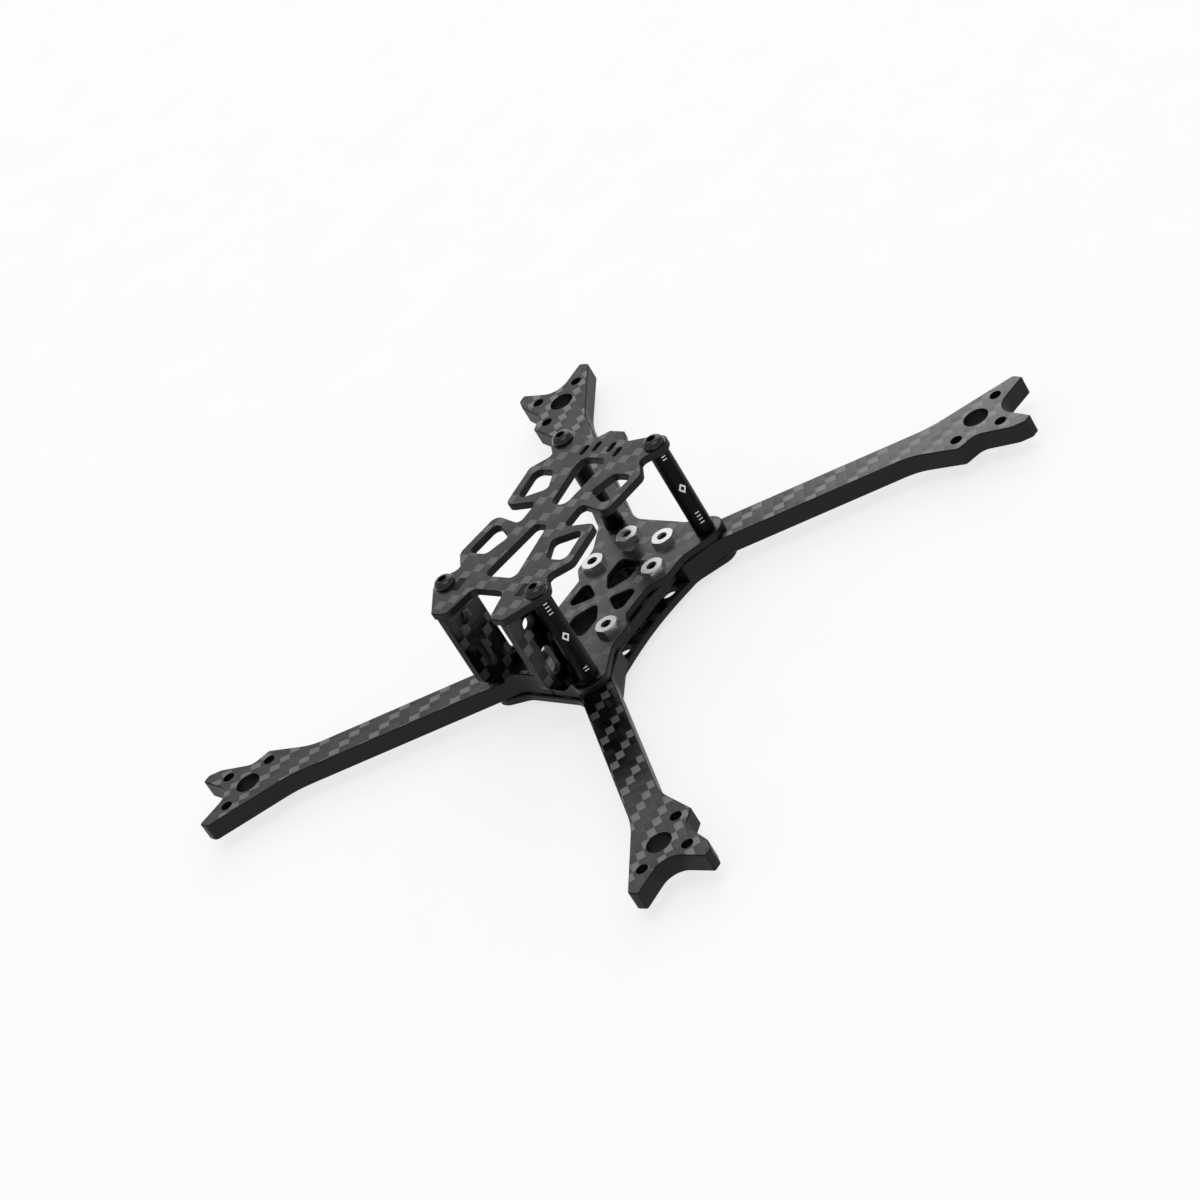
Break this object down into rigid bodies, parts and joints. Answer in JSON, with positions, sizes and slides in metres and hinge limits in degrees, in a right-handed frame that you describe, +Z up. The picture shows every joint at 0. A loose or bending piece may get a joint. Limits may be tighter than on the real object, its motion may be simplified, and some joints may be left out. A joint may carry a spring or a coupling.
{
  "type": "quadcopter frame",
  "caption": "Bare X-shaped racing quadcopter frame of woven carbon plates: bolted arms with swallow-tail motor pads, a raised top plate on round standoffs and upright camera side plates.",
  "frame": {"origin": "under the middle of the frame, on the plane of the lowest screw heads", "axes": "+Z up through the plates, -Y towards the nose and the camera plates, +X to the aircraft's side that is on the right when +Y points away"},
  "size_m": [0.1698, 0.169, 0.0393],
  "materials": {
    "plate_carbon": "woven carbon fibre sheet, satin top, cut edges bare and dark",
    "arm_carbon": "woven carbon fibre sheet with the weave along the arm, chamfered edges",
    "camera_carbon": "thin woven carbon fibre sheet, glossy",
    "black_anodised": "black anodised aluminium",
    "black_steel": "black oxide steel",
    "bright_steel": "bright turned steel"
  },
  "bodies": {
    "root": {"top_plate": "plate_carbon", "mid_plate": "plate_carbon", "lower_plate": "plate_carbon", "centre_brace": "plate_carbon", "arm_rear_right": "arm_carbon", "arm_rear_left": "arm_carbon", "arm_front_right": "arm_carbon", "arm_front_left": "arm_carbon", "standoff_rear_right": "black_anodised", "standoff_rear_left": "black_anodised", "standoff_front_right": "black_anodised", "standoff_front_left": "black_anodised", "camera_plate_left": "camera_carbon", "camera_plate_right": "camera_carbon", "top_screws": "black_steel", "lower_screws": "black_steel", "arm_screws": "black_steel", "arm_press_nuts": "bright_steel", "stack_press_nuts": "bright_steel", "stack_set_screws": "black_steel"}
  },
  "joints": []
}
